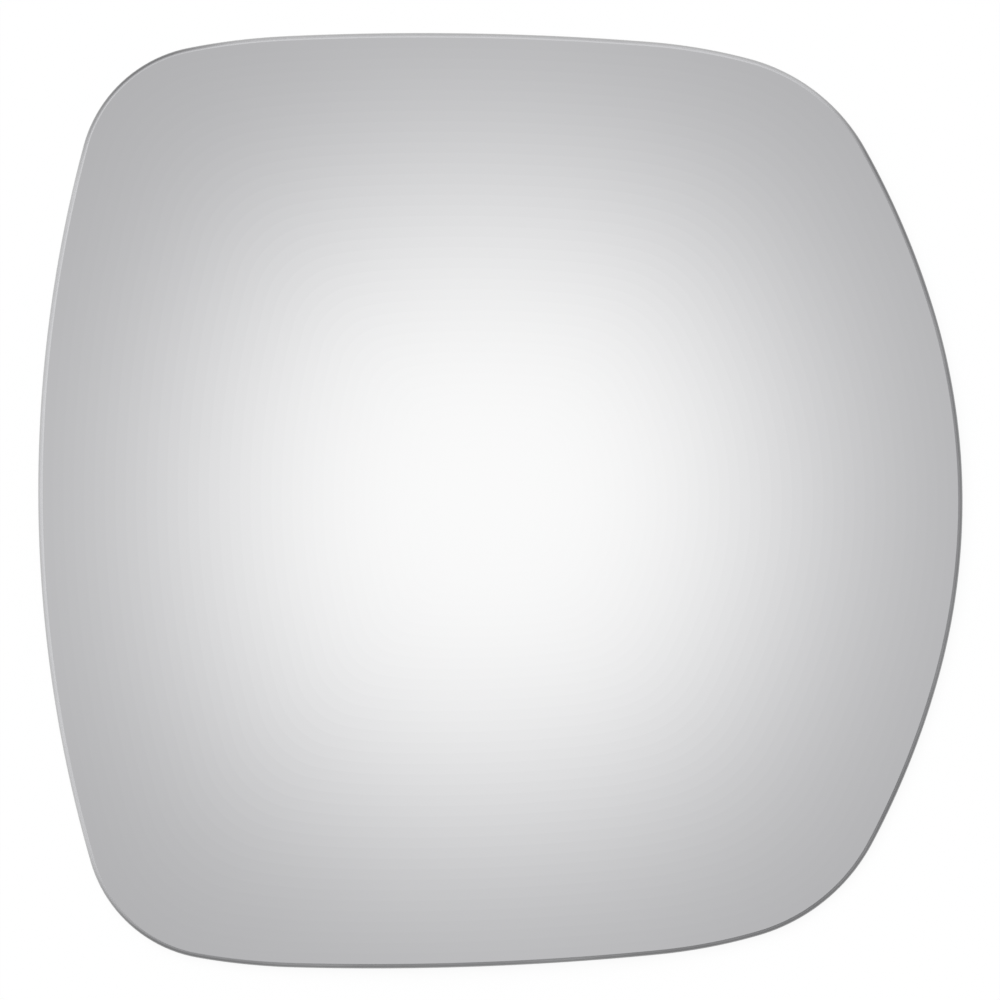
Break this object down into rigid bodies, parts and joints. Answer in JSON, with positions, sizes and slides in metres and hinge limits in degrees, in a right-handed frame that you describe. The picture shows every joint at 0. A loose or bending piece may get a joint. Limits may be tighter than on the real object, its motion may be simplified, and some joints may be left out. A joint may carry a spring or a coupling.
{
  "type": "car door mirror glass",
  "caption": "Frameless convex door mirror glass with a rounded ground edge, made to be bonded to the backing plate in a car's mirror housing.",
  "frame": {"origin": "on the table under the middle of the outline, with the glass lying on its four back corners and the mirror face up", "axes": "+X to the outboard nose, +Y to the upper edge as fitted, +Z out of the mirror face"},
  "size_m": [0.168, 0.17, 0.0061],
  "materials": {
    "silvered_glass": "polished and silvered, with a satin ground edge and a painted back"
  },
  "bodies": {
    "root": {"mirror_glass": "silvered_glass"}
  },
  "joints": []
}
